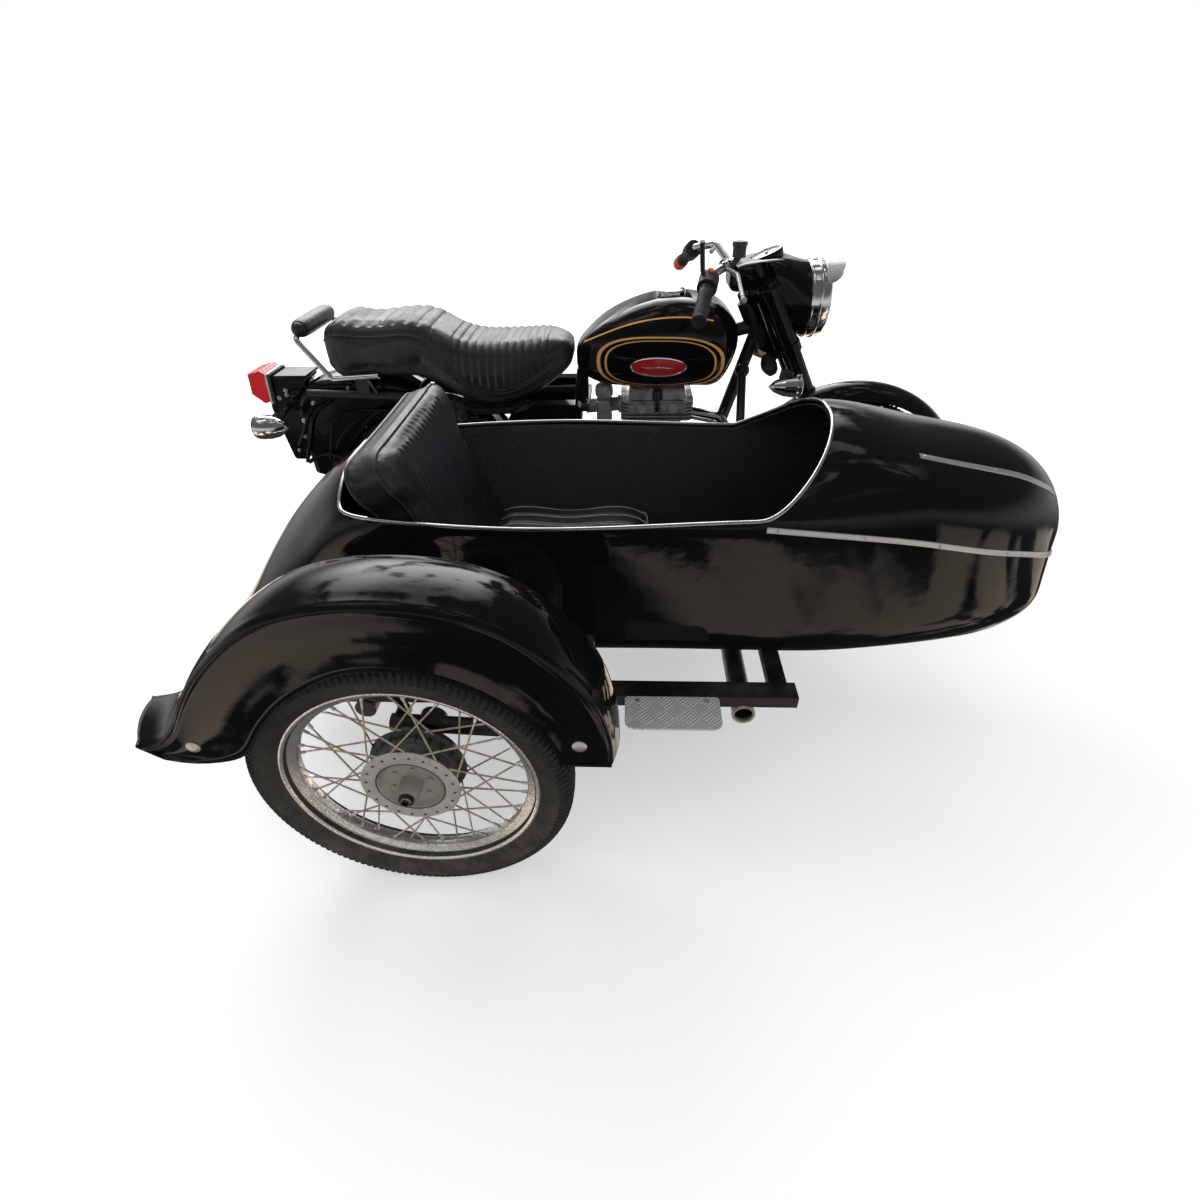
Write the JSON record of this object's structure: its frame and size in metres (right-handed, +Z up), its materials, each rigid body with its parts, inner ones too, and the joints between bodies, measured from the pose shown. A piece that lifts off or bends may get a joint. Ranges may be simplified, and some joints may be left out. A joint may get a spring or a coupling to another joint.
{
  "type": "sidecar motorcycle",
  "caption": "Motorcycle with a one-seat sidecar on its right: wire wheels that roll, steering fork, fold-down centre stand, open cockpit with cushions",
  "frame": {"origin": "on the ground, in the middle of the outfit's length and width", "axes": "+X forward, +Y to the rider's left, +Z up"},
  "size_m": [2.2387, 1.7227, 1.1292],
  "materials": {
    "gloss_black": "deep gloss black paint",
    "frame_black": "satin black paint",
    "chrome": "bright chrome plate",
    "hub_alloy": "dull cast alloy",
    "engine_alloy": "cast alloy, dusty",
    "aged_chrome": "dull chrome with dirty spokes",
    "step_alloy": "chequered bright aluminium",
    "tyre": "worn tyre rubber, dusty sidewall",
    "rubber": "matt black rubber",
    "seat_vinyl": "black leathercloth with piped pleats",
    "carpet": "dark grey ribbed carpet",
    "red_plastic": "red lamp lens",
    "lamp_glass": "clear lamp glass",
    "dial": "cream dial face under glass",
    "badge": "chrome plaque with red enamel",
    "black_plastic": "satin black moulded plastic",
    "bead": "dull metal edge bead",
    "board": "plywood under the cushion",
    "steel": "plain steel"
  },
  "bodies": {
    "chassis": {"bike_frame": "frame_black", "engine_cases": "engine_alloy", "engine_barrel": "engine_alloy", "carburettor": "engine_alloy", "exhaust": "chrome", "fuel_tank": "gloss_black", "fuel_cap": "chrome", "tank_badges": "badge", "dual_seat": "seat_vinyl", "grab_rail": "chrome", "backrest_pad": "seat_vinyl", "rear_mudguard": "gloss_black", "tail_carrier": "gloss_black", "tail_lamp": "red_plastic", "rear_indicators": "chrome", "side_boxes": "gloss_black", "rear_shocks": "frame_black", "swingarm": "frame_black", "footrests": "rubber", "drive_chain": "steel", "sidecar_frame": "frame_black", "sidecar_struts": "frame_black", "sidecar_body": "gloss_black", "sidecar_coaming": "bead", "sidecar_carpet": "carpet", "sidecar_seat_base": "board", "sidecar_seat_cushion": "seat_vinyl", "sidecar_seat_back": "seat_vinyl", "sidecar_mudguard": "gloss_black", "sidecar_step": "step_alloy", "sidecar_wheel_arm": "frame_black", "sidecar_shock": "frame_black"},
    "steering": {"fork": "gloss_black", "headlamp_nacelle": "gloss_black", "headlamp_rim": "chrome", "headlamp_glass": "lamp_glass", "speedometer": "dial", "handlebar": "chrome", "grips_and_switches": "rubber", "levers": "hub_alloy", "brake_reservoir_and_mirror_stem": "black_plastic", "front_mudguard": "gloss_black", "front_indicators": "chrome"},
    "front_wheel": {"front_tyre": "tyre", "front_wire_wheel": "aged_chrome"},
    "rear_wheel": {"rear_tyre": "tyre", "rear_wire_wheel": "aged_chrome"},
    "sidecar_wheel": {"sidecar_tyre": "tyre", "sidecar_wire_wheel": "aged_chrome"},
    "centre_stand": {"centre_stand": "frame_black"}
  },
  "joints": [
    {"name": "steering", "type": "hinge", "parent": "chassis", "child": "steering", "pos_m": [0.74654, 0.45, 0.29276], "axis": [-0.454, 0, 0.891], "range_deg": [-35, 35]},
    {"name": "front_wheel_spin", "type": "hinge", "parent": "steering", "child": "front_wheel", "pos_m": [0.8, 0.45, 0.32], "axis": [0, 1, 0], "continuous": true},
    {"name": "rear_wheel_spin", "type": "hinge", "parent": "chassis", "child": "rear_wheel", "pos_m": [-0.585, 0.45, 0.32], "axis": [0, 1, 0], "continuous": true},
    {"name": "sidecar_wheel_spin", "type": "hinge", "parent": "chassis", "child": "sidecar_wheel", "pos_m": [-0.339, -0.78, 0.32], "axis": [0, 1, 0], "continuous": true},
    {"name": "centre_stand_fold", "type": "hinge", "parent": "chassis", "child": "centre_stand", "pos_m": [-0.13, 0.45, 0.215], "axis": [0, -1, 0], "range_deg": [0, 31], "stiffness_Nm_per_rad": 14, "springref_deg": -40.11}
  ]
}
